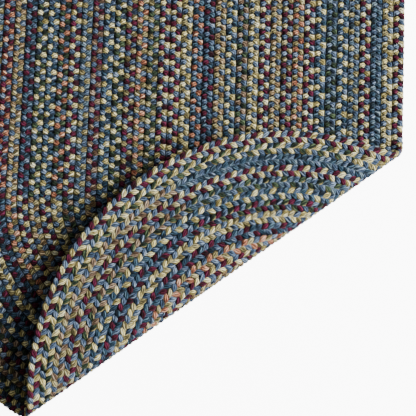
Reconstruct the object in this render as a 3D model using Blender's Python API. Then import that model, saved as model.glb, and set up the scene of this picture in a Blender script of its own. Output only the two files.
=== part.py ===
"""An oval braided rug, lying flat with one rounded end folded back over itself.

The rug is one continuous braid, coiled about two centres and laced to itself, so it is
one solid. Every round of the coil is a raised rib. The sheet is drawn flat first and
then rolled over along a diagonal fold, as a stiff rug rolls: round at the fold, with the
folded end sagging back toward the layer below it.

Units are metres, +Z is up, and the rug rests on z = 0 with the origin under the middle
of its footprint. The straight rounds run along Y, and the folded end is toward -Y.
"""

import math

import bmesh
import bpy
from mathutils import Vector

# The braid and its coil.
BRAID_WIDTH = 0.0208
BRAID_THICKNESS = 0.012
RIB_HEIGHT = 0.003
ROUNDS = 22
STRAIGHT_LENGTH = 0.6192

# The fold, as a line across the flat rug. Its normal points to the end that is folded.
FOLD_HEADING = math.radians(-53.6)
FOLD_DISTANCE = 0.160
ROLL_RADIUS = 0.0308
ROLL_TAPER = -0.0116
ROLL_STEPS = 8

# The underside is flat where it rests and ribbed where it is rolled up. The ribs begin
# over this length before the fold.
RIB_RUNOUT = 0.020

# How the folded end hangs past the roll: its slope from level, and how it sags.
FLAP_SLOPE = math.radians(-6.6)
FLAP_TWIST = math.radians(-8.9)
FLAP_SAG = -0.6

# How finely the round ends are divided, and over how many steps the braid's end tapers.
ARC_STEPS = 24
TAPER_STEPS = 4

# A cut passes through a point that lies closer to it than this, and heights this much
# apart count as level.
CUT_SNAP = 0.0001
LEVEL_SNAP = 1e-7

RUG_BLUE = (0.105, 0.165, 0.245, 1.0)
RUG_ROUGHNESS = 0.92
CREASE_ANGLE = math.radians(50)

HALF_THICKNESS = BRAID_THICKNESS / 2
HALF_BRAID = BRAID_WIDTH / 2
NEAR_LINES = 2 * ROUNDS
FAR_LINES = NEAR_LINES - 1
FOLD_NORMAL = Vector((math.cos(FOLD_HEADING), math.sin(FOLD_HEADING), 0.0))
FOLD_AXIS = Vector((-FOLD_NORMAL.y, FOLD_NORMAL.x, 0.0))


def clear_scene():
    """Remove every object that the scene starts with."""
    for item in list(bpy.data.objects):
        bpy.data.objects.remove(item, do_unlink=True)


def add_line_point(bm, layers, place, groove, rim):
    """Add a point of the flat sheet, marked by how far it lies in a groove or on the rim."""
    vert = bm.verts.new((place[0], place[1], 0.0))
    vert[layers["groove"]] = groove
    vert[layers["rim"]] = rim
    return vert


def near_end_points(bm, layers):
    """The grid of the folded end: half circles about (0, 0), from the right to the left.

    Line m lies m half braids from the centre. Even lines are the grooves between
    rounds, odd lines are the crests of the ribs, and the last line is the rim.
    """
    grid = {}
    centre = add_line_point(bm, layers, (0.0, 0.0), 1.0, 0.0)
    for step in range(ARC_STEPS + 1):
        angle = -math.pi * step / ARC_STEPS
        grid[0, step] = centre
        for line in range(1, NEAR_LINES + 1):
            radius = line * HALF_BRAID
            place = (radius * math.cos(angle), radius * math.sin(angle))
            groove = float(line % 2 == 0)
            rim = float(line == NEAR_LINES)
            grid[line, step] = add_line_point(bm, layers, place, groove, rim)
    return grid


def far_end_points(bm, layers):
    """The grid of the other end: half circles from the left to the right.

    Its centre lies half a braid to the right, which carries each round out to the next
    one. The coil starts at this centre, and it ends here too, where the last round
    tapers off along the outside of the one before it.
    """
    grid = {}
    centre_x = HALF_BRAID
    start = add_line_point(bm, layers, (centre_x, STRAIGHT_LENGTH), 0.0, 0.0)
    for step in range(ARC_STEPS + 1):
        angle = math.pi * (1 - step / ARC_STEPS)
        across = math.cos(angle)
        along = math.sin(angle)
        grid[0, step] = start
        for line in range(1, FAR_LINES + 1):
            radius = line * HALF_BRAID
            place = (centre_x + radius * across, STRAIGHT_LENGTH + radius * along)
            groove = float(line % 2 == 1)
            rim = float(line == FAR_LINES and step >= TAPER_STEPS)
            grid[line, step] = add_line_point(bm, layers, place, groove, rim)
        if step < TAPER_STEPS:
            spent = step / TAPER_STEPS
            inner = FAR_LINES * HALF_BRAID
            width = BRAID_WIDTH * (1 - spent)
            for line, share, rim in ((FAR_LINES + 1, 0.5, 0.0), (FAR_LINES + 2, 1.0, 1.0)):
                radius = inner + share * width
                place = (centre_x + radius * across, STRAIGHT_LENGTH + radius * along)
                groove = max(rim, spent)
                grid[line, step] = add_line_point(bm, layers, place, groove, rim)
    return grid


def add_strip(bm, inner, outer):
    """Face the strip between two runs of points, which may share a point."""
    for index in range(len(inner) - 1):
        corners = (inner[index], inner[index + 1], outer[index + 1], outer[index])
        bm.faces.new(list(dict.fromkeys(corners)))


def flat_sheet(bm, layers):
    """Lay out the whole coil as a flat sheet with a line of edges for every rib."""
    near = near_end_points(bm, layers)
    far = far_end_points(bm, layers)
    steps = range(ARC_STEPS + 1)

    for line in range(NEAR_LINES):
        add_strip(bm, [near[line, s] for s in steps], [near[line + 1, s] for s in steps])
    for line in range(FAR_LINES):
        add_strip(bm, [far[line, s] for s in steps], [far[line + 1, s] for s in steps])

    for line in range(NEAR_LINES):
        inner = [near[line, ARC_STEPS], far[line + 1, 0]]
        outer = [near[line + 1, ARC_STEPS], far[line + 2, 0]]
        add_strip(bm, inner, outer)

    right_top = {0: far[1, 0]}
    for line in range(1, NEAR_LINES + 1):
        right_top[line] = far[line - 1, ARC_STEPS]
    for line in range(NEAR_LINES):
        inner = [right_top[line], near[line, 0]]
        outer = [right_top[line + 1], near[line + 1, 0]]
        add_strip(bm, inner, outer)

    for line in (FAR_LINES, FAR_LINES + 1):
        for step in range(TAPER_STEPS):
            tip = far[FAR_LINES, TAPER_STEPS]
            inner = [far[line, step], far.get((line, step + 1), tip)]
            outer = [far[line + 1, step], far.get((line + 1, step + 1), tip)]
            add_strip(bm, inner, outer)


def thicken(bm):
    """Turn the sheet into a slab, half its thickness above and half below z = 0."""
    for vert in bm.verts:
        vert.co.z = -HALF_THICKNESS
    grown = bmesh.ops.extrude_face_region(bm, geom=bm.faces[:], use_keep_orig=True)
    for item in grown["geom"]:
        if isinstance(item, bmesh.types.BMVert):
            item.co.z = HALF_THICKNESS
    bmesh.ops.recalc_face_normals(bm, faces=bm.faces[:])


def roll_radius(along):
    """Radius of the roll at its middle surface, at a place along the fold."""
    return ROLL_RADIUS + ROLL_TAPER * along


def cut_for_roll(bm):
    """Cut the slab across where the ribs begin below it, and into the steps of the roll."""
    cuts = [(FOLD_NORMAL * (FOLD_DISTANCE - RIB_RUNOUT), FOLD_NORMAL)]
    for step in range(ROLL_STEPS + 1):
        turn = math.pi * step / ROLL_STEPS
        place = FOLD_NORMAL * (FOLD_DISTANCE + turn * ROLL_RADIUS)
        cuts.append((place, FOLD_NORMAL - FOLD_AXIS * (turn * ROLL_TAPER)))
    for place, normal in cuts:
        everything = bm.verts[:] + bm.edges[:] + bm.faces[:]
        bmesh.ops.bisect_plane(
            bm, geom=everything, dist=CUT_SNAP, plane_co=place, plane_no=normal.normalized()
        )


def past_fold(place):
    """How far a place lies past the fold line, toward the end that is folded."""
    return place.dot(FOLD_NORMAL) - FOLD_DISTANCE


def is_on_floor(vert):
    """Whether a point of the underside belongs to the part that stays on the floor."""
    return past_fold(vert.co) < -RIB_RUNOUT / 2


def raise_ribs(bm, layers):
    """Sink the grooves between the ribs, but leave the underside flat where it rests."""
    for vert in bm.verts:
        groove = vert[layers["groove"]]
        if vert.co.z > 0:
            vert.co.z -= RIB_HEIGHT * groove
        elif is_on_floor(vert):
            vert.co.z += RIB_HEIGHT * vert[layers["rim"]]
        else:
            vert.co.z += RIB_HEIGHT * groove


def merge_resting_face(bm):
    """Join the level faces of the underside into the one face that lies on the floor."""
    resting = {
        vert for vert in bm.verts
        if is_on_floor(vert) and abs(vert.co.z + HALF_THICKNESS) < LEVEL_SNAP
    }
    level = [face for face in bm.faces if resting.issuperset(face.verts)]
    bmesh.ops.dissolve_faces(bm, faces=level, use_verts=True)


def folded(flat):
    """Where a point of the flat slab lies once the end is rolled over.

    The cross-section across the fold is level, then turns through the roll, then runs
    on as the flap, which sags a little more the farther it reaches.
    """
    along = flat.dot(FOLD_AXIS)
    past = past_fold(flat)
    if past <= 0:
        return flat.copy()
    radius = roll_radius(along)
    full_turn = math.pi - (FLAP_SLOPE + FLAP_TWIST * along)
    turn = min(past / radius, full_turn)
    reach = radius * math.sin(turn)
    rise = radius * (1 - math.cos(turn))
    beyond = past - radius * full_turn
    if beyond > 0:
        turn = full_turn + FLAP_SAG * beyond
        reach += (math.sin(turn) - math.sin(full_turn)) / FLAP_SAG
        rise += (math.cos(full_turn) - math.cos(turn)) / FLAP_SAG
    reach -= flat.z * math.sin(turn)
    rise += flat.z * math.cos(turn)
    place = FOLD_AXIS * along + FOLD_NORMAL * (FOLD_DISTANCE + reach)
    return Vector((place.x, place.y, rise))


def fold_over(bm):
    """Roll the near end over, then stand the rug on z = 0 about its footprint's middle."""
    for vert in bm.verts:
        vert.co = folded(vert.co)
    low_x = min(vert.co.x for vert in bm.verts)
    high_x = max(vert.co.x for vert in bm.verts)
    low_y = min(vert.co.y for vert in bm.verts)
    high_y = max(vert.co.y for vert in bm.verts)
    shift = Vector((-(low_x + high_x) / 2, -(low_y + high_y) / 2, HALF_THICKNESS))
    bmesh.ops.translate(bm, vec=shift, verts=bm.verts[:])


def wool_material():
    """Matt denim-blue wool, the rug's main colour seen from a step away."""
    material = bpy.data.materials.new("rug_wool")
    material.use_nodes = True
    shader = material.node_tree.nodes["Principled BSDF"]
    shader.inputs["Base Color"].default_value = RUG_BLUE
    shader.inputs["Roughness"].default_value = RUG_ROUGHNESS
    shader.inputs["Metallic"].default_value = 0.0
    material.diffuse_color = RUG_BLUE
    return material


def build_rug():
    """Build the folded rug as one closed solid."""
    bm = bmesh.new()
    layers = {
        "groove": bm.verts.layers.float.new("groove"),
        "rim": bm.verts.layers.float.new("rim"),
    }
    flat_sheet(bm, layers)
    thicken(bm)
    cut_for_roll(bm)
    raise_ribs(bm, layers)
    merge_resting_face(bm)
    fold_over(bm)
    bmesh.ops.triangulate(bm, faces=[face for face in bm.faces if len(face.verts) > 4])
    mesh = bpy.data.meshes.new("braided_rug")
    bm.to_mesh(mesh)
    bm.free()
    mesh.shade_smooth()
    mesh.set_sharp_from_angle(angle=CREASE_ANGLE)
    mesh.materials.append(wool_material())
    rug = bpy.data.objects.new("braided_rug", mesh)
    bpy.context.scene.collection.objects.link(rug)
    return rug


def main():
    """Clear the scene and build the rug."""
    clear_scene()
    build_rug()


if __name__ == "__main__":
    main()
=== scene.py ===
"""The looks of an oval braided wool rug with one rounded end folded back over itself.

Every strand of the braid is modelled: three strands cross each other along one long
coil, and the finished coil is bent over the same diagonal fold as the solid rug.
"""

import logging
import math
from dataclasses import dataclass, field
from enum import Enum
from typing import Optional

import bmesh
import bpy
import numpy as np
from mathutils import Matrix, Vector


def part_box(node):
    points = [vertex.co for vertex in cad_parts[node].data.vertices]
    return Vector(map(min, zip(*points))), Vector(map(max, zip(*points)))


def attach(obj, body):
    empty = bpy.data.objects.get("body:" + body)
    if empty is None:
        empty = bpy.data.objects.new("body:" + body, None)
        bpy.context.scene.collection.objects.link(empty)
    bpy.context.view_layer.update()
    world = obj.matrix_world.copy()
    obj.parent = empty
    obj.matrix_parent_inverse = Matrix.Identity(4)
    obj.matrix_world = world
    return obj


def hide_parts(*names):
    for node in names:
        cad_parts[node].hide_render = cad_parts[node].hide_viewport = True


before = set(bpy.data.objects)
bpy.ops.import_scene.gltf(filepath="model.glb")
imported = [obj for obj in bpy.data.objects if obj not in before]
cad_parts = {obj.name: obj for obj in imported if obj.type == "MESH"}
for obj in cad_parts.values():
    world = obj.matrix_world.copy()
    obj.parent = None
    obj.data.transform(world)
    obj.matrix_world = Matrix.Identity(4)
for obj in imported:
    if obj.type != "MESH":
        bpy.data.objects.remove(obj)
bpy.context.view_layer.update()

NODE = "braided_rug"
MM = 0.001
# The braid's waves, below, hold for three strands and no other number.
STRANDS = 3
LOG = logging.getLogger("braided_rug")


# --------------------------------------------------------------------------- sizes


@dataclass(frozen=True)
class Braid:
    """The flat three-strand braid, in metres.

    The front is the rug's upper side. A strand sways from edge to edge and is lifted
    over and under the others, and crossing_lead is how far the lift runs ahead of the
    sway. front_spread carries the strand's bumps on the front further out and those on
    the back further in, and front_pinch shortens those on the front. A strand swells by
    its fullness at either surface, the more briefly the higher the swell power.
    """

    width: float = 20.8 * MM
    thickness: float = 12.0 * MM
    repeat: float = 32.2 * MM
    strand_half_width: float = 3.4 * MM
    strand_half_height: float = 2.0 * MM
    sway: float = 7.7 * MM
    front_spread: float = 0.12
    front_lift: float = 2.35 * MM
    back_lift: float = 2.3 * MM
    crossing_lead: float = math.radians(12)
    front_fullness: float = 1.12
    back_fullness: float = 0.72
    front_swell_power: int = 2
    back_swell_power: int = 3
    front_pinch: float = 0.45
    rings_per_repeat: int = 12
    sides: int = 7


@dataclass(frozen=True)
class Unevenness:
    """The small wandering of braiding done by hand, as waves along each strand.

    strand_turns says how far, in radians, the waves of one strand are ahead of those of
    the strand before it.
    """

    wander: float = 0.175 * MM
    wander_waves: tuple[float, float] = (103.0 * MM, 46.0 * MM)
    swell: float = 0.035
    swell_wave: float = 30.0 * MM
    strand_turns: tuple[float, float, float] = (2.1, 4.0, 1.3)

    def _wave(self, lengths: np.ndarray, wavelength: float, turn: float) -> np.ndarray:
        """A sine wave along the coil."""
        return np.sin(2 * math.pi * lengths / wavelength + turn)

    def shift(self, lengths: np.ndarray, strand: int) -> np.ndarray:
        """Find how far a strand strays from its path.

        Args:
            lengths: Distances along the coil.
            strand: 0, 1 or 2.

        Returns:
            One distance for each place, in metres.
        """
        long_wave, short_wave = self.wander_waves
        first = self._wave(lengths, long_wave, self.strand_turns[0] * strand)
        second = self._wave(lengths, short_wave, self.strand_turns[1] * strand)
        return self.wander * (first + second)

    def fullness(self, lengths: np.ndarray, strand: int) -> np.ndarray:
        """How thick a strand is, as a share of its usual thickness."""
        wave = self._wave(lengths, self.swell_wave, self.strand_turns[2] * strand)
        return 1 + self.swell * wave


@dataclass(frozen=True)
class Coil:
    """The two-centre coil that the braid is laid in, flat.

    The near end's half circles are centred on (0, 0). The far end's are centred half a
    braid to the right, which carries each round out to the next. The braid starts thin
    at the coil's middle and would gain a full width in start_growth widths of its
    length. At the rim it thins out again over the taper angle. Round the near end, which
    is folded back, the braid's repeats are pulled longer, and the dyes change at the
    share end_dye_change of the half circle. The very start reaches start_overhang past
    the first straight.
    """

    braid: Braid = field(default_factory=Braid)
    rounds: int = 22
    straight: float = 619.2 * MM
    start_overhang: float = 8.0 * MM
    start_size: float = 0.45
    start_growth: float = 2.0
    taper_angle: float = math.radians(30)
    end_size: float = 0.2
    end_stretch: float = 0.085
    end_dye_change: float = 0.26
    marks_per_leg: int = 24

    @property
    def pitch(self) -> float:
        """Distance between rounds."""
        return self.braid.width

    @property
    def left_edge(self) -> float:
        """The flat rug's lowest X."""
        return -self.rounds * self.pitch

    @property
    def far_edge(self) -> float:
        """The flat rug's highest Y."""
        return self.straight + (self.rounds - 0.5) * self.pitch


@dataclass(frozen=True)
class Fold:
    """The diagonal fold, given across the flat rug in the coil's coordinates.

    heading points across the fold, toward the end that is folded, and the roll starts
    at distance from the coil's origin. From place to place along the fold, roll_taper
    changes the roll's radius by metres per metre and flap_twist changes the flap's slope
    by radians per metre. A negative slope comes down from the roll. flap_sag is the
    flap's own bend, in radians per metre.
    """

    heading: float = math.radians(-53.6)
    distance: float = 160.0 * MM
    roll_radius: float = 30.8 * MM
    roll_taper: float = -0.0116
    flap_slope: float = math.radians(-6.6)
    flap_twist: float = math.radians(-8.9)
    flap_sag: float = -0.6

    @property
    def normal(self) -> np.ndarray:
        """Unit vector across the fold, toward the end that is folded."""
        return np.array([math.cos(self.heading), math.sin(self.heading)])

    def bend(self, points: np.ndarray) -> np.ndarray:
        """Carry points of the flat rug to where they lie once its end is rolled over.

        Args:
            points: N by 3 places, with Z measured from the rug's middle surface.

        Returns:
            N by 3 places, in the same coordinates.
        """
        normal = self.normal
        axis = np.array([-normal[1], normal[0]])
        along = points[:, :2] @ axis
        past = points[:, :2] @ normal - self.distance
        height = points[:, 2]
        radius = self.roll_radius + self.roll_taper * along
        full_turn = math.pi - (self.flap_slope + self.flap_twist * along)
        beyond = np.maximum(past - radius * full_turn, 0.0)
        rolled = np.clip(past / radius, 0.0, full_turn)
        turn = rolled + self.flap_sag * beyond
        reach = np.minimum(past, 0.0) + radius * np.sin(rolled)
        reach += (np.sin(turn) - np.sin(rolled)) / self.flap_sag
        rise = radius * (1 - np.cos(rolled)) + (np.cos(rolled) - np.cos(turn)) / self.flap_sag
        reach -= height * np.sin(turn)
        rise += height * np.cos(turn)
        flat = np.outer(along, axis) + np.outer(self.distance + reach, normal)
        return np.column_stack([flat, rise])

    def bend_mesh(self, mesh: bpy.types.Mesh, shift: np.ndarray) -> None:
        """Bend a flat piece over the fold and set it in the CAD model's place.

        Args:
            mesh: The flat piece, in the coil's coordinates.
            shift: From the coil's coordinates to the CAD model's.
        """
        points = np.empty(len(mesh.vertices) * 3, dtype=np.float32)
        mesh.vertices.foreach_get("co", points)
        placed = self.bend(points.reshape(-1, 3).astype(float)) + shift
        mesh.vertices.foreach_set("co", placed.astype(np.float32).ravel())
        mesh.update()


# --------------------------------------------------------------------------- dyes


class Dye(Enum):
    """The colours that the strands are dyed, keyed by the letter used in the chart."""

    BLUE = "B"
    SLATE = "S"
    NAVY = "N"
    CREAM = "C"
    TAN = "T"
    BROWN = "O"
    FAWN = "F"
    PEACH = "P"
    BURGUNDY = "R"
    GREEN = "G"


@dataclass(frozen=True)
class Yarn:
    """Heathered wool: the shades of a strand's separate yarns, from dark to light.

    A fleck is the colour of one odd yarn in the strand.
    """

    name: str
    dark: str
    main: str
    light: str
    fleck: Optional[str] = None


YARNS: dict[Dye, Yarn] = {
    # Denim blue is in nearly every round: from a distance the whole rug reads as blue.
    Dye.BLUE: Yarn("denim_blue_wool", "#1b2939", "#526784", "#90a4bc"),
    # A greyer blue, which lets a round go quiet beside the patterned ones.
    Dye.SLATE: Yarn("slate_blue_wool", "#1b2c38", "#51697a", "#8a9fab"),
    # Teal navy gives deep cool lines that set off the pale strands.
    Dye.NAVY: Yarn("navy_teal_wool", "#0c1a26", "#28455a", "#5c798c"),
    # Warm cream is the brightest strand: its rows of dots draw the rounds.
    Dye.CREAM: Yarn("cream_wool", "#91834a", "#f7e79a", "#fffbd0"),
    # Olive tan is cream's quieter echo, a straw colour a step darker.
    Dye.TAN: Yarn("olive_tan_wool", "#584f2e", "#a69a68", "#dbd2a1"),
    # Camel brown warms a round without standing out.
    Dye.BROWN: Yarn("camel_wool", "#5a462a", "#a08560", "#d8bf96"),
    # Fawn is a muted pinkish beige, between camel and peach.
    Dye.FAWN: Yarn("fawn_wool", "#574130", "#998067", "#c8b298"),
    # Peach gives small warm accents among the blues.
    Dye.PEACH: Yarn("peach_wool", "#6f3926", "#c07c5c", "#f0bc9b"),
    # Burgundy is the strongest accent: dark red dots, also round the whole rim.
    Dye.BURGUNDY: Yarn("burgundy_wool", "#22000c", "#4e0623", "#702044"),
    # Bottle green is almost black, with one tan yarn in the strand that flecks it.
    Dye.GREEN: Yarn("bottle_green_wool", "#0f180e", "#293928", "#586c4c", "#a89b66"),
}


class Stretch(Enum):
    """The stretches of a round in the order of braiding, by their names in RoundDyes."""

    RIGHT = "right"
    END_START = "end_start"
    END_REST = "end_rest"
    LEFT = "left"


@dataclass(frozen=True)
class RoundDyes:
    """The three strands of one round on each stretch of it, a letter for each strand."""

    right: str
    end_start: str
    end_rest: str
    left: str


# One row for each round, from the rug's rim to its middle.
ROUND_CHART: tuple[RoundDyes, ...] = (
    RoundDyes("RCB", "RCB", "RCB", "RCB"),
    RoundDyes("TCB", "GCB", "GCB", "GCB"),
    RoundDyes("NSB", "NSB", "TFB", "TFB"),
    RoundDyes("RCB", "RCB", "RTB", "RTB"),
    RoundDyes("TSB", "GSB", "GFB", "RTB"),
    RoundDyes("NCB", "NCB", "NCB", "RCB"),
    RoundDyes("GSB", "GRB", "NRB", "GFB"),
    RoundDyes("CNB", "CTB", "CTB", "STB"),
    RoundDyes("RCB", "RNB", "RNB", "RPB"),
    RoundDyes("PTB", "PTB", "PTB", "OTB"),
    RoundDyes("RTB", "RCB", "RCB", "RNB"),
    RoundDyes("TOB", "TOB", "TOB", "GCB"),
    RoundDyes("RCB", "RCB", "RCB", "NCB"),
    RoundDyes("CTB", "CTB", "CTB", "PGB"),
    RoundDyes("FGB", "FGB", "FGB", "RCB"),
    RoundDyes("CNB", "CNB", "CNB", "TSB"),
    RoundDyes("TOB", "TOB", "TOB", "RFB"),
    RoundDyes("RNB", "RNB", "RNB", "CNB"),
    RoundDyes("PNB", "PNB", "PNB", "CGB"),
    RoundDyes("TCB", "TCB", "TCB", "TRB"),
    RoundDyes("CRB", "CRB", "CRB", "PTB"),
    RoundDyes("CRB", "CRB", "CRB", "GTB"),
)


# --------------------------------------------------------------------------- colour and nodes


def linear_colour(code: str) -> tuple[float, float, float, float]:
    """Turn an sRGB hex colour into the linear colour that a shader socket takes.

    Args:
        code: A colour such as "#5b7698".

    Returns:
        Linear red, green, blue and an alpha of 1.
    """
    channels = []
    for start in (1, 3, 5):
        value = int(code[start:start + 2], 16) / 255
        # The curve of the sRGB standard.
        channels.append(value / 12.92 if value <= 0.04045 else ((value + 0.055) / 1.055) ** 2.4)
    return (channels[0], channels[1], channels[2], 1.0)


def add_node(
    tree: bpy.types.NodeTree,
    kind: str,
    settings: Optional[dict[str, object]] = None,
    inputs: Optional[dict[int | str, object]] = None,
) -> bpy.types.Node:
    """Add a node, set it up and link or fill its inputs.

    Args:
        tree: The node tree that gets the node.
        kind: The node's type name, such as "ShaderNodeMath".
        settings: Values for the node's own properties.
        inputs: Values for its inputs by name or index. A socket is linked.

    Returns:
        The new node.
    """
    node = tree.nodes.new(kind)
    for name, value in (settings or {}).items():
        setattr(node, name, value)
    for key, value in (inputs or {}).items():
        if isinstance(value, bpy.types.NodeSocket):
            tree.links.new(value, node.inputs[key])
        else:
            node.inputs[key].default_value = value
    return node


@dataclass(frozen=True)
class WoolFinish:
    """Spun wool yarns laid side by side in each strand, matt and a little fuzzy.

    It gives the eye a soft strand with painted shade in the fine creases between its yarns,
    and heathered shades that change from yarn to yarn. The pattern follows the strand's
    own UV map. U is the length along the strand in metres, and V counts yarns round it.
    """

    # Rug yarn is about 1.5 mm thick, a third of what the photo's framing can show, so
    # the yarns are drawn 8 round a strand, about 3 mm each.
    yarns_round: int = 8
    # groove_shade is how dark the painted shade in the creases between yarns gets.
    groove_edges: tuple[float, float] = (0.03, 0.35)
    groove_shade: float = 0.12
    yarn_depth: float = 1.1 * MM
    yarn_relief: float = 0.9
    shade_length: float = 20.0 * MM
    shade_step: float = 7.31
    # Wool fibres are 0.03 mm thick, so the streaks are tufts of them, about 1 mm wide.
    fibre_length: float = 5.0 * MM
    fibres_per_yarn: float = 3.0
    fibre_share: float = 0.28
    shade_detail: float = 1.0
    fibre_detail: float = 3.0
    tone_stops: tuple[float, float, float] = (0.37, 0.5, 0.64)
    ply_length: float = 2.6 * MM
    ply_relief: float = 0.2
    fibre_relief: float = 0.3
    fleck_yarn: int = 2
    roughness: float = 0.9
    specular: float = 0.15
    sheen: float = 0.06
    sheen_roughness: float = 0.6

    def material(self, yarn: Yarn) -> bpy.types.Material:
        """Make the material of one dye.

        Args:
            yarn: The dye's shades.

        Returns:
            The material, made of nodes.
        """
        material = bpy.data.materials.new(yarn.name)
        material.use_nodes = True
        tree = material.node_tree
        shader = tree.nodes["Principled BSDF"]
        uv = add_node(tree, "ShaderNodeUVMap", {"uv_map": "strand"}).outputs[0]
        place = add_node(tree, "ShaderNodeSeparateXYZ", inputs={0: uv})
        number = add_node(
            tree, "ShaderNodeMath", {"operation": "FLOOR"}, {0: place.outputs["Y"]}
        ).outputs[0]
        colour, fibre = self._heather(tree, yarn, uv, place.outputs["X"], number)
        # The creases lie at whole numbers of V, half a yarn from each yarn's middle. The
        # colour is darkened there as painted shade, and the same value gives the yarns' relief.
        from_groove = add_node(
            tree, "ShaderNodeMath", {"operation": "PINGPONG"}, {0: place.outputs["Y"], 1: 0.5}
        )
        crease_shade_and_relief = add_node(
            tree, "ShaderNodeMapRange", {"interpolation_type": "SMOOTHSTEP"}, {
                "Value": from_groove.outputs[0],
                "From Min": self.groove_edges[0], "From Max": self.groove_edges[1],
                "To Min": self.groove_shade, "To Max": 1.0,
            },
        ).outputs[0]
        shaded = add_node(
            tree, "ShaderNodeMix", {"data_type": "RGBA", "blend_type": "MULTIPLY"},
            {0: 1.0, 6: colour, 7: crease_shade_and_relief},
        )
        tree.links.new(shaded.outputs[2], shader.inputs["Base Color"])

        # The texture's diagonal bands repeat each 2 pi / 10, so this scale lays one band
        # to each ply length and yarn.
        twist_place = add_node(tree, "ShaderNodeMapping", inputs={
            "Vector": uv, "Scale": (1 / self.ply_length, 1.0, 1.0),
        })
        ply = add_node(tree, "ShaderNodeTexWave", {"bands_direction": "DIAGONAL"}, {
            "Vector": twist_place.outputs[0], "Scale": 2 * math.pi / 10,
        })
        relief = add_node(tree, "ShaderNodeMath", {"operation": "MULTIPLY_ADD"}, {
            0: ply.outputs[1], 1: self.ply_relief, 2: crease_shade_and_relief,
        })
        relief = add_node(tree, "ShaderNodeMath", {"operation": "MULTIPLY_ADD"}, {
            0: fibre, 1: self.fibre_relief, 2: relief.outputs[0],
        })
        bump = add_node(tree, "ShaderNodeBump", inputs={
            "Height": relief.outputs[0], "Distance": self.yarn_depth,
            "Strength": self.yarn_relief,
        })
        tree.links.new(bump.outputs[0], shader.inputs["Normal"])
        shader.inputs["Roughness"].default_value = self.roughness
        shader.inputs["Sheen Weight"].default_value = self.sheen
        shader.inputs["Sheen Roughness"].default_value = self.sheen_roughness
        shader.inputs["Specular IOR Level"].default_value = self.specular
        material.diffuse_color = linear_colour(yarn.main)
        return material

    def _heather(
        self,
        tree: bpy.types.NodeTree,
        yarn: Yarn,
        uv: bpy.types.NodeSocket,
        along: bpy.types.NodeSocket,
        number: bpy.types.NodeSocket,
    ) -> tuple[bpy.types.NodeSocket, bpy.types.NodeSocket]:
        """Mix the dye's shades, yarn by yarn and fibre by fibre.

        Args:
            tree: The material's node tree.
            yarn: The dye's shades.
            uv: The strand's UV place.
            along: The length along the strand.
            number: The yarn's number round the strand.

        Returns:
            The colour, and the fibres' own pattern.
        """
        yarn_place = add_node(tree, "ShaderNodeCombineXYZ", inputs={0: along, 1: number})
        shade_place = add_node(tree, "ShaderNodeMapping", inputs={
            "Vector": yarn_place.outputs[0],
            "Scale": (1 / self.shade_length, self.shade_step, 1.0),
        })
        shade = add_node(tree, "ShaderNodeTexNoise", {"noise_dimensions": "2D"}, {
            "Vector": shade_place.outputs[0], "Scale": 1.0, "Detail": self.shade_detail,
        })
        fibre_place = add_node(tree, "ShaderNodeMapping", inputs={
            "Vector": uv, "Scale": (1 / self.fibre_length, self.fibres_per_yarn, 1.0),
        })
        fibre = add_node(tree, "ShaderNodeTexNoise", {"noise_dimensions": "2D"}, {
            "Vector": fibre_place.outputs[0], "Scale": 1.0, "Detail": self.fibre_detail,
        })
        tone = add_node(tree, "ShaderNodeMix", inputs={
            0: self.fibre_share, 2: shade.outputs[0], 3: fibre.outputs[0],
        })
        ramp = add_node(tree, "ShaderNodeValToRGB", inputs={0: tone.outputs[0]})
        stops = ramp.color_ramp.elements
        stops[0].position = self.tone_stops[0]
        stops[0].color = linear_colour(yarn.dark)
        stops[1].position = self.tone_stops[2]
        stops[1].color = linear_colour(yarn.light)
        stops.new(self.tone_stops[1]).color = linear_colour(yarn.main)
        colour = ramp.outputs[0]
        if yarn.fleck:
            turn = add_node(
                tree, "ShaderNodeMath", {"operation": "FLOORED_MODULO"},
                {0: number, 1: float(self.yarns_round)},
            )
            # Yarns have whole numbers, so half a step tells them apart.
            is_fleck = add_node(tree, "ShaderNodeMath", {"operation": "COMPARE"}, {
                0: turn.outputs[0], 1: float(self.fleck_yarn), 2: 0.5,
            })
            colour = add_node(tree, "ShaderNodeMix", {"data_type": "RGBA"}, {
                0: is_fleck.outputs[0], 6: colour, 7: linear_colour(yarn.fleck),
            }).outputs[2]
        return colour, fibre.outputs[0]


@dataclass(frozen=True)
class LacingAndShadeFinish:
    """Spun lacing thread, near black: partly the thread's own colour and partly painted
    shade, the deep shade in the gaps between the strands.
    """

    name: str = "lacing_thread_and_painted_shade"
    # Near black: the thread's own colour and a painted shade for the gaps between strands.
    dark: str = "#0d1116"
    light: str = "#232a30"
    grain: float = 3.0 * MM
    grain_detail: float = 2.0
    relief: float = 0.5 * MM
    roughness: float = 0.95

    def material(self) -> bpy.types.Material:
        """Make the thread's material.

        Returns:
            The material, made of nodes.
        """
        material = bpy.data.materials.new(self.name)
        material.use_nodes = True
        tree = material.node_tree
        shader = tree.nodes["Principled BSDF"]
        place = add_node(tree, "ShaderNodeTexCoord")
        noise = add_node(tree, "ShaderNodeTexNoise", inputs={
            "Vector": place.outputs["Object"], "Scale": 1 / self.grain,
            "Detail": self.grain_detail,
        }).outputs[0]
        ramp = add_node(tree, "ShaderNodeValToRGB", inputs={0: noise})
        ramp.color_ramp.elements[0].color = linear_colour(self.dark)
        ramp.color_ramp.elements[1].color = linear_colour(self.light)
        tree.links.new(ramp.outputs[0], shader.inputs["Base Color"])
        bump = add_node(tree, "ShaderNodeBump", inputs={
            "Height": noise, "Distance": self.relief,
        })
        tree.links.new(bump.outputs[0], shader.inputs["Normal"])
        shader.inputs["Roughness"].default_value = self.roughness
        return material


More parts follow.
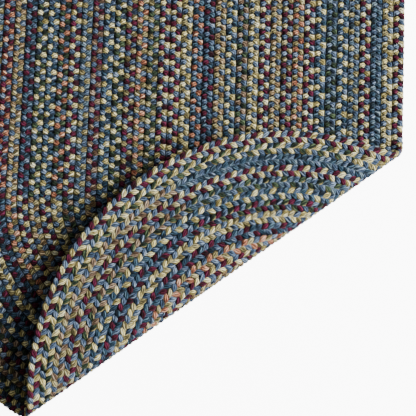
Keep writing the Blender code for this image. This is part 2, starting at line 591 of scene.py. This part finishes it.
@dataclass(frozen=True)
class FloorFinish:
    """Painted studio floor: its own pale glow keeps it as white as the photo's ground."""

    name: str = "painted_floor"
    paint: str = "#f7f7f7"
    glow: float = 9.0
    roughness: float = 0.8

    def material(self) -> bpy.types.Material:
        """Make the floor's material.

        Returns:
            The material.
        """
        material = bpy.data.materials.new(self.name)
        material.use_nodes = True
        shader = material.node_tree.nodes["Principled BSDF"]
        shader.inputs["Base Color"].default_value = linear_colour(self.paint)
        shader.inputs["Emission Color"].default_value = linear_colour(self.paint)
        shader.inputs["Emission Strength"].default_value = self.glow
        shader.inputs["Roughness"].default_value = self.roughness
        return material


# --------------------------------------------------------------------------- the coil's path


@dataclass(frozen=True)
class Leg:
    """One straight or half-round stretch of the coil.

    heading is -1 for a straight leg that runs down Y, +1 for one that runs up it, and 0
    for an arc, which turns clockwise about its centre. x and y are the straight leg's
    start or the arc's centre. dye_change is the share of the leg at which its second
    stretch of the chart starts. Rounds are numbered as in the chart, from the rim.
    """

    x: float
    y: float
    heading: int
    length: float
    stretches: tuple[Stretch, Stretch]
    round_number: int
    radius: float = 0.0
    first_angle: float = 0.0
    dye_change: float = 0.5


class CoilPath:
    """The braid's centreline through the whole coil, by length along it."""

    def __init__(self, coil: Coil) -> None:
        """Lay out the legs of the coil.

        Args:
            coil: The coil's sizes.
        """
        self.coil = coil
        self.legs = self._lay_legs()
        self.ends = np.cumsum([leg.length for leg in self.legs])
        self.starts = np.concatenate([[0.0], self.ends[:-1]])
        self.length = float(self.ends[-1])
        self.mark_lengths, self.mark_repeats = self._count_repeats()

    def _lay_legs(self) -> list[Leg]:
        """List the coil's legs from its middle to its rim.

        Returns:
            Four legs for each round.
        """
        coil = self.coil
        legs = []
        for turn in range(1, coil.rounds + 1):
            number = coil.rounds - turn + 1
            near_radius = (turn - 0.5) * coil.pitch
            far_radius = turn * coil.pitch
            top = coil.straight + (coil.start_overhang if turn == 1 else 0.0)
            sweep = coil.taper_angle if turn == coil.rounds else math.pi
            legs += [
                Leg(
                    x=near_radius, y=top, heading=-1, length=top,
                    stretches=(Stretch.RIGHT, Stretch.RIGHT), round_number=number,
                ),
                Leg(
                    x=0.0, y=0.0, heading=0, length=math.pi * near_radius,
                    stretches=(Stretch.END_START, Stretch.END_REST), round_number=number,
                    radius=near_radius, dye_change=coil.end_dye_change,
                ),
                Leg(
                    x=-near_radius, y=0.0, heading=1, length=coil.straight,
                    stretches=(Stretch.LEFT, Stretch.LEFT), round_number=number,
                ),
                Leg(
                    x=coil.pitch / 2, y=coil.straight, heading=0, length=sweep * far_radius,
                    stretches=(Stretch.LEFT, Stretch.RIGHT), round_number=number,
                    radius=far_radius, first_angle=math.pi,
                ),
            ]
        return legs

    def _count_repeats(self) -> tuple[np.ndarray, np.ndarray]:
        """Count the braid's repeats along the coil. Round the near end it is stretched.

        Returns:
            Lengths along the centreline, and the repeats braided up to each.
        """
        marks = self.coil.marks_per_leg
        share = (np.arange(marks) + 0.5) / marks
        steps = []
        repeats = []
        for leg in self.legs:
            step = np.full(marks, leg.length / marks)
            is_near_end = Stretch.END_START in leg.stretches
            stretch = self.coil.end_stretch * np.sin(math.pi * share) * is_near_end
            steps.append(step)
            repeats.append(step / (self.coil.braid.repeat * (1 + stretch)))
        return (
            np.concatenate([[0.0], np.cumsum(np.concatenate(steps))]),
            np.concatenate([[0.0], np.cumsum(np.concatenate(repeats))]),
        )

    def leg_numbers(self, lengths: np.ndarray) -> np.ndarray:
        """The index of the leg that each place along the coil lies on."""
        numbers = np.searchsorted(self.ends, lengths, side="right")
        return np.clip(numbers, 0, len(self.legs) - 1)

    def places(self, lengths: np.ndarray) -> tuple[np.ndarray, np.ndarray, np.ndarray]:
        """Find places along the coil.

        Args:
            lengths: Distances along the centreline.

        Returns:
            The places and the outward directions there, each N by 2, and the share of
            its full size that the braid has there, which falls off at both its ends.
        """
        numbers = self.leg_numbers(lengths)
        picked = {
            name: np.array([getattr(leg, name) for leg in self.legs])[numbers]
            for name in ("x", "y", "heading", "radius", "first_angle", "length")
        }
        gone = lengths - self.starts[numbers]
        is_arc = picked["heading"] == 0
        angle = picked["first_angle"] - gone / np.where(is_arc, picked["radius"], 1.0)
        out_x = np.where(is_arc, np.cos(angle), -picked["heading"])
        out_y = np.where(is_arc, np.sin(angle), 0.0)
        x = picked["x"] + np.where(is_arc, picked["radius"] * out_x, 0.0)
        y = picked["y"] + np.where(is_arc, picked["radius"] * out_y, picked["heading"] * gone)
        last = numbers == len(self.legs) - 1
        spent = np.where(last, np.clip(gone / picked["length"], 0.0, 1.0), 0.0)
        # The thinning end is drawn in by half a round, against the round before it.
        x -= out_x * spent * self.coil.pitch / 2
        y -= out_y * spent * self.coil.pitch / 2
        growth = lengths / (self.coil.start_growth * self.coil.pitch)
        grown = np.clip(self.coil.start_size + growth, 0.0, 1.0)
        size = np.minimum(grown, 1 - (1 - self.coil.end_size) * spent)
        return np.column_stack([x, y]), np.column_stack([out_x, out_y]), size

    def dyes(self, lengths: np.ndarray, strand: int) -> np.ndarray:
        """The dye of one strand at places along the coil, as indices of Dye.

        Args:
            lengths: Distances along the centreline.
            strand: 0, 1 or 2.

        Returns:
            One index for each distance.
        """
        order = [dye.value for dye in Dye]
        table = np.array([
            [
                order.index(getattr(ROUND_CHART[leg.round_number - 1], stretch.value)[strand])
                for stretch in leg.stretches
            ]
            for leg in self.legs
        ])
        numbers = self.leg_numbers(lengths)
        gone = lengths - self.starts[numbers]
        change = np.array([leg.length * leg.dye_change for leg in self.legs])[numbers]
        return table[numbers, (gone > change).astype(int)]


# --------------------------------------------------------------------------- the rug


@dataclass
class LacingAndShadeWeb:
    """The thread that laces the rounds together, as one thin web at mid-height. Its
    near-black sheet is also painted shade, seen where the gaps between strands show it.

    Its edge stays inset braid widths inside the rug's. At the oval's two ends its rows
    keep at least the share tip of their width, so that no face shrinks to nothing.
    """

    coil: Coil
    fold: Fold
    shift: np.ndarray
    finish: LacingAndShadeFinish = field(default_factory=LacingAndShadeFinish)
    thickness: float = 1.6 * MM
    inset: float = 0.7
    columns: int = 64
    rows: int = 104
    tip: float = 0.02

    def build(self) -> bpy.types.Object:
        """Make the web from a grid whose rows are drawn in to the oval.

        Returns:
            The finished piece.
        """
        bm = bmesh.new()
        bmesh.ops.create_grid(bm, x_segments=self.columns, y_segments=self.rows, size=1.0)
        for vert in bm.verts:
            vert.co = self._place(vert.co.x, vert.co.y)
        grown = bmesh.ops.extrude_face_region(bm, geom=bm.faces[:], use_keep_orig=True)
        raised = [item for item in grown["geom"] if isinstance(item, bmesh.types.BMVert)]
        bmesh.ops.translate(bm, verts=raised, vec=Vector((0, 0, self.thickness)))
        bmesh.ops.recalc_face_normals(bm, faces=bm.faces[:])
        mesh = bpy.data.meshes.new("lacing_and_shade_web")
        bm.to_mesh(mesh)
        bm.free()
        mesh.materials.append(self.finish.material())
        self.fold.bend_mesh(mesh, self.shift)
        mesh.shade_smooth()
        web = bpy.data.objects.new("lacing_and_shade_web", mesh)
        bpy.context.scene.collection.objects.link(web)
        return web

    def _place(self, across: float, along: float) -> Vector:
        """Carry a point of the square grid to the oval.

        Args:
            across: From -1 at the left edge to 1 at the right.
            along: From -1 at the near end to 1 at the far end.

        Returns:
            The point on the web's lower side, in the coil's coordinates.
        """
        coil = self.coil
        reach = (coil.rounds - self.inset) * coil.pitch
        far_reach = reach - coil.pitch / 2
        high = coil.straight + far_reach
        y = -reach + (high + reach) * (along + 1) / 2
        beside = min(max(y / coil.straight, 0.0), 1.0)
        middle = coil.pitch / 2 * beside
        half = reach + (far_reach - reach) * beside
        past = max(-y, y - coil.straight, 0.0)
        half = math.sqrt(max(half ** 2 - past ** 2, (self.tip * half) ** 2))
        return Vector((middle + across * half, y, -self.thickness / 2))


@dataclass
class BraidedRug:
    """The rug: its braid in sections, and the lacing that holds the rounds together, whose
    near-black web is also painted shade between the strands.
    """

    coil: Coil = field(default_factory=Coil)
    fold: Fold = field(default_factory=Fold)
    finish: WoolFinish = field(default_factory=WoolFinish)
    unevenness: Unevenness = field(default_factory=Unevenness)
    sections: int = 6

    def __post_init__(self) -> None:
        """Work out the path and how the flat coil sits in the CAD model's frame."""
        self.path = CoilPath(self.coil)
        low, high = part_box(NODE)
        self.shift = np.array([
            low[0] - self.coil.left_edge,
            high[1] - self.coil.far_edge,
            self.coil.braid.thickness / 2,
        ])
        self.materials = [self.finish.material(YARNS[dye]) for dye in Dye]

    def build(self) -> list[bpy.types.Object]:
        """Build every piece of the rug.

        Returns:
            The pieces, the lacing and painted-shade web last.
        """
        cuts = self._section_cuts()
        pieces = [
            self._braid_section(number, start, end)
            for number, (start, end) in enumerate(zip(cuts[:-1], cuts[1:]), start=1)
        ]
        # The lacing web is near black, partly the thread and partly painted shade in the gaps.
        web = LacingAndShadeWeb(self.coil, self.fold, self.shift).build()
        for piece in pieces + [web]:
            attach(piece, "root")
            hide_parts(NODE)
        return pieces + [web]

    def _section_cuts(self) -> list[float]:
        """Cut the coil into pieces at the middles of straights on its left side.

        Returns:
            Distances along the coil, with both its ends.
        """
        middles = [
            start + leg.length / 2
            for start, leg in zip(self.path.starts, self.path.legs)
            if leg.heading == 1
        ]
        cuts = [0.0]
        for number in range(1, self.sections):
            wanted = self.path.length * number / self.sections
            cuts.append(min(middles, key=lambda place: abs(place - wanted)))
        cuts.append(self.path.length)
        return cuts

    def _strand_phases(self, start: float, end: float) -> np.ndarray:
        """Space a strand's rings evenly through the braid's repeats.

        Args:
            start: A place along the coil.
            end: A place further along it.

        Returns:
            How far each ring is through the braid's repeats, in radians.
        """
        path = self.path
        per_repeat = self.coil.braid.rings_per_repeat
        first, last = (
            math.floor(per_repeat * np.interp(place, path.mark_lengths, path.mark_repeats))
            for place in (start, end)
        )
        return (np.arange(first, last + 1) + 0.5) * 2 * math.pi / per_repeat

    def _strand_points(
        self, phases: np.ndarray, strand: int
    ) -> tuple[np.ndarray, np.ndarray, np.ndarray]:
        """Lay one strand of the flat braid.

        Seen from above, a strand goes from the middle out to an edge over its
        neighbours and comes back beneath them. It is pinched lengthwise where it
        crosses over, so the upper side shows short full bumps and the underside longer
        ones, and it swells where it comes to either surface.

        Args:
            phases: How far each ring is through the braid's repeats, in radians.
            strand: 0, 1 or 2.

        Returns:
            N by 3 points, N ring sizes and N places along the coil.
        """
        braid = self.coil.braid
        # In each repeat a strand sways across and back once and is lifted over twice.
        repeats = (phases - braid.front_pinch / 2 * np.cos(2 * phases)) / (2 * math.pi)
        repeats -= strand / STRANDS
        inside = np.interp(repeats, self.path.mark_repeats, self.path.mark_lengths)
        centre, outward, size = self.path.places(inside)
        stray = self.unevenness.shift(inside, strand)
        over = -np.sin(2 * phases + braid.crossing_lead)
        swing = np.cos(phases) - braid.front_spread * over * np.cos(3 * phases)
        fullness = self.unevenness.fullness(inside, strand)
        fullness += braid.front_fullness * np.maximum(over, 0.0) ** braid.front_swell_power
        fullness += braid.back_fullness * np.maximum(-over, 0.0) ** braid.back_swell_power
        lift = np.where(over > 0, braid.front_lift, braid.back_lift)
        across = -braid.sway * swing * size + stray
        height = lift * over * size + stray
        points = np.column_stack([centre + outward * across[:, None], height])
        return points, size * fullness, inside

    def _braid_section(self, number: int, start: float, end: float) -> bpy.types.Object:
        """Sweep the three strands of one stretch of the coil and fold them into place.

        Args:
            number: The section's number, for its name.
            start: Where the stretch starts along the coil.
            end: Where it ends.

        Returns:
            The finished piece.
        """
        phases = self._strand_phases(start, end)
        curve = bpy.data.curves.new("strands", "CURVE")
        curve.dimensions = "3D"
        curve.twist_mode = "Z_UP"
        curve.bevel_mode = "OBJECT"
        curve.bevel_object = self._strand_profile()
        rings = []
        dyes = []
        for strand in range(STRANDS):
            points, sizes, inside = self._strand_points(phases, strand)
            spline = curve.splines.new("POLY")
            spline.points.add(len(points) - 1)
            homogeneous = np.column_stack([points, np.ones(len(points))])
            spline.points.foreach_set("co", homogeneous.astype(np.float32).ravel())
            spline.points.foreach_set("radius", sizes.astype(np.float32))
            steps = np.linalg.norm(np.diff(points, axis=0), axis=1)
            rings.append(np.concatenate([[0.0], np.cumsum(steps)]) + start)
            dyes.append(self.path.dyes(inside, strand))
        sweep = bpy.data.objects.new("strands", curve)
        bpy.context.scene.collection.objects.link(sweep)
        graph = bpy.context.evaluated_depsgraph_get()
        mesh = bpy.data.meshes.new_from_object(sweep.evaluated_get(graph))
        profile = curve.bevel_object
        bpy.data.objects.remove(sweep)
        bpy.data.objects.remove(profile)
        mesh.name = f"braid_section_{number}"
        self._close_ends(mesh)
        self._map_strands(mesh, rings, dyes)
        self.fold.bend_mesh(mesh, self.shift)
        mesh.shade_smooth()
        piece = bpy.data.objects.new(mesh.name, mesh)
        bpy.context.scene.collection.objects.link(piece)
        return piece

    def _strand_profile(self) -> bpy.types.Object:
        """Draw the strand's cross-section, a flattened round, as a closed flat curve.

        Returns:
            The curve's object, which goes once the strands are swept.
        """
        braid = self.coil.braid
        curve = bpy.data.curves.new("strand_profile", "CURVE")
        curve.dimensions = "2D"
        spline = curve.splines.new("POLY")
        spline.points.add(braid.sides - 1)
        spline.use_cyclic_u = True
        for side, point in enumerate(spline.points):
            angle = math.pi / 2 - 2 * math.pi * side / braid.sides
            x = braid.strand_half_width * math.cos(angle)
            y = braid.strand_half_height * math.sin(angle)
            point.co = (x, y, 0.0, 1.0)
        profile = bpy.data.objects.new("strand_profile", curve)
        bpy.context.scene.collection.objects.link(profile)
        return profile

    @staticmethod
    def _close_ends(mesh: bpy.types.Mesh) -> None:
        """Close the open ends of the swept strands.

        Args:
            mesh: The swept strands.
        """
        bm = bmesh.new()
        bm.from_mesh(mesh)
        open_edges = [edge for edge in bm.edges if edge.is_boundary]
        bmesh.ops.holes_fill(bm, edges=open_edges, sides=0)
        bmesh.ops.recalc_face_normals(bm, faces=bm.faces[:])
        bm.to_mesh(mesh)
        bm.free()

    def _map_strands(
        self, mesh: bpy.types.Mesh, rings: list[np.ndarray], dyes: list[np.ndarray]
    ) -> None:
        """Give a section its UV map and the dye of each face.

        The sweep's points run ring by ring along each strand in turn.

        Args:
            mesh: The swept strands.
            rings: Length along the strand at each ring, for each strand.
            dyes: Index of the dye at each ring, for each strand.
        """
        sides = self.coil.braid.sides
        ring_length = np.concatenate(rings)
        ring_dye = np.concatenate(dyes)
        ring_strand = np.repeat(np.arange(len(rings)), [len(ring) for ring in rings])
        corner_point = np.empty(len(mesh.loops), dtype=np.int32)
        mesh.loops.foreach_get("vertex_index", corner_point)
        face_size = np.empty(len(mesh.polygons), dtype=np.int32)
        mesh.polygons.foreach_get("loop_total", face_size)
        face_start = np.concatenate([[0], np.cumsum(face_size)[:-1]])
        corner_face = np.repeat(np.arange(len(face_size)), face_size)
        ring = corner_point // sides
        side = corner_point % sides
        low_side = np.minimum.reduceat(side, face_start)[corner_face]
        high_side = np.maximum.reduceat(side, face_start)[corner_face]
        wraps = (low_side == 0) & (high_side == sides - 1)
        turn = np.where(wraps & (side == 0), sides, side) / sides
        yarns = (ring_strand[ring] + turn) * self.finish.yarns_round
        uv = np.column_stack([ring_length[ring], yarns])
        while mesh.uv_layers:
            mesh.uv_layers.remove(mesh.uv_layers[0])
        layer = mesh.uv_layers.new(name="strand")
        layer.data.foreach_set("uv", uv.astype(np.float32).ravel())
        mesh.materials.clear()
        for material in self.materials:
            mesh.materials.append(material)
        face_ring = np.minimum.reduceat(ring, face_start)
        mesh.polygons.foreach_set("material_index", ring_dye[face_ring].astype(np.int32))
        mesh.update()


# --------------------------------------------------------------------------- the studio


@dataclass
class Studio:
    """A pale floor, a large soft light low on the right and the photo's camera.

    The camera's aim is given in the coil's coordinates, on the rug's middle surface, and
    the key light's aim in the CAD model's.
    """

    rug: BraidedRug
    aim: tuple[float, float] = (102.6 * MM, -10.5 * MM)
    distance: float = 2.474
    tilt: float = math.radians(7.76)
    swing: float = math.radians(1.96)
    focal_pixels: float = 1347.0
    picture_pixels: float = 416.0
    sensor_width: float = 36.0
    clip: tuple[float, float] = (0.1, 50.0)
    floor_reach: float = 12.0
    surround: str = "#ffffff"
    surround_strength: float = 0.24
    key_aim: tuple[float, float, float] = (0.05, -0.35, 0.0)
    key_azimuth: float = math.radians(4)
    key_elevation: float = math.radians(33.5)
    key_distance: float = 5.1
    key_size: float = 4.5
    key_energy: float = 785.0

    def build(self) -> None:
        """Set up the floor, the lights and the camera."""
        self._floor()
        self._lights()
        self._camera()

    def _floor(self) -> None:
        """A plain pale floor under the rug."""
        bm = bmesh.new()
        bmesh.ops.create_grid(bm, x_segments=1, y_segments=1, size=self.floor_reach)
        mesh = bpy.data.meshes.new("floor")
        bm.to_mesh(mesh)
        bm.free()
        mesh.materials.append(FloorFinish().material())
        floor = bpy.data.objects.new("floor", mesh)
        # Its glow is for the eye alone: it casts no light up on the rug's edges.
        floor.visible_diffuse = False
        floor.visible_glossy = False
        bpy.context.scene.collection.objects.link(floor)

    def _lights(self) -> None:
        """A large soft key light low on the right, and an even pale surround."""
        world = bpy.data.worlds.new("studio")
        bpy.context.scene.world = world
        world.use_nodes = True
        background = world.node_tree.nodes["Background"]
        background.inputs["Color"].default_value = linear_colour(self.surround)
        background.inputs["Strength"].default_value = self.surround_strength
        key = bpy.data.lights.new("key", "AREA")
        key.shape = "DISK"
        key.size = self.key_size
        key.energy = self.key_energy
        toward = Vector((
            math.cos(self.key_elevation) * math.cos(self.key_azimuth),
            math.cos(self.key_elevation) * math.sin(self.key_azimuth),
            math.sin(self.key_elevation),
        ))
        lamp = bpy.data.objects.new("key", key)
        lamp.location = Vector(self.key_aim) + toward * self.key_distance
        lamp.rotation_euler = toward.to_track_quat("Z", "Y").to_euler()
        bpy.context.scene.collection.objects.link(lamp)

    def _camera(self) -> None:
        """The camera, almost straight above the folded end, with the photo's framing."""
        back = Vector((
            math.sin(self.swing) * math.sin(self.tilt),
            -math.cos(self.swing) * math.sin(self.tilt),
            math.cos(self.tilt),
        ))
        target = Vector((self.aim[0], self.aim[1], 0.0)) + Vector(self.rug.shift)
        right = (-back).cross(Vector((0, 0, 1))).normalized()
        up = right.cross(-back)
        data = bpy.data.cameras.new("camera")
        data.sensor_width = self.sensor_width
        data.lens = data.sensor_width * self.focal_pixels / self.picture_pixels
        data.clip_start, data.clip_end = self.clip
        camera = bpy.data.objects.new("camera", data)
        turned = Matrix((right, up, back)).transposed().to_4x4()
        camera.matrix_world = Matrix.Translation(target + back * self.distance) @ turned
        bpy.context.scene.collection.objects.link(camera)
        bpy.context.scene.camera = camera


def write_sizes() -> None:
    """Bring the view layer up to date."""
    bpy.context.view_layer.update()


def main() -> None:
    """Build the rug, then the studio round it."""
    logging.basicConfig(level=logging.INFO, format="%(name)s %(message)s")
    rug = BraidedRug()
    for piece in rug.build():
        LOG.info("%s: %d faces", piece.name, len(piece.data.polygons))
    Studio(rug).build()
    write_sizes()


if __name__ == "__main__":
    main()
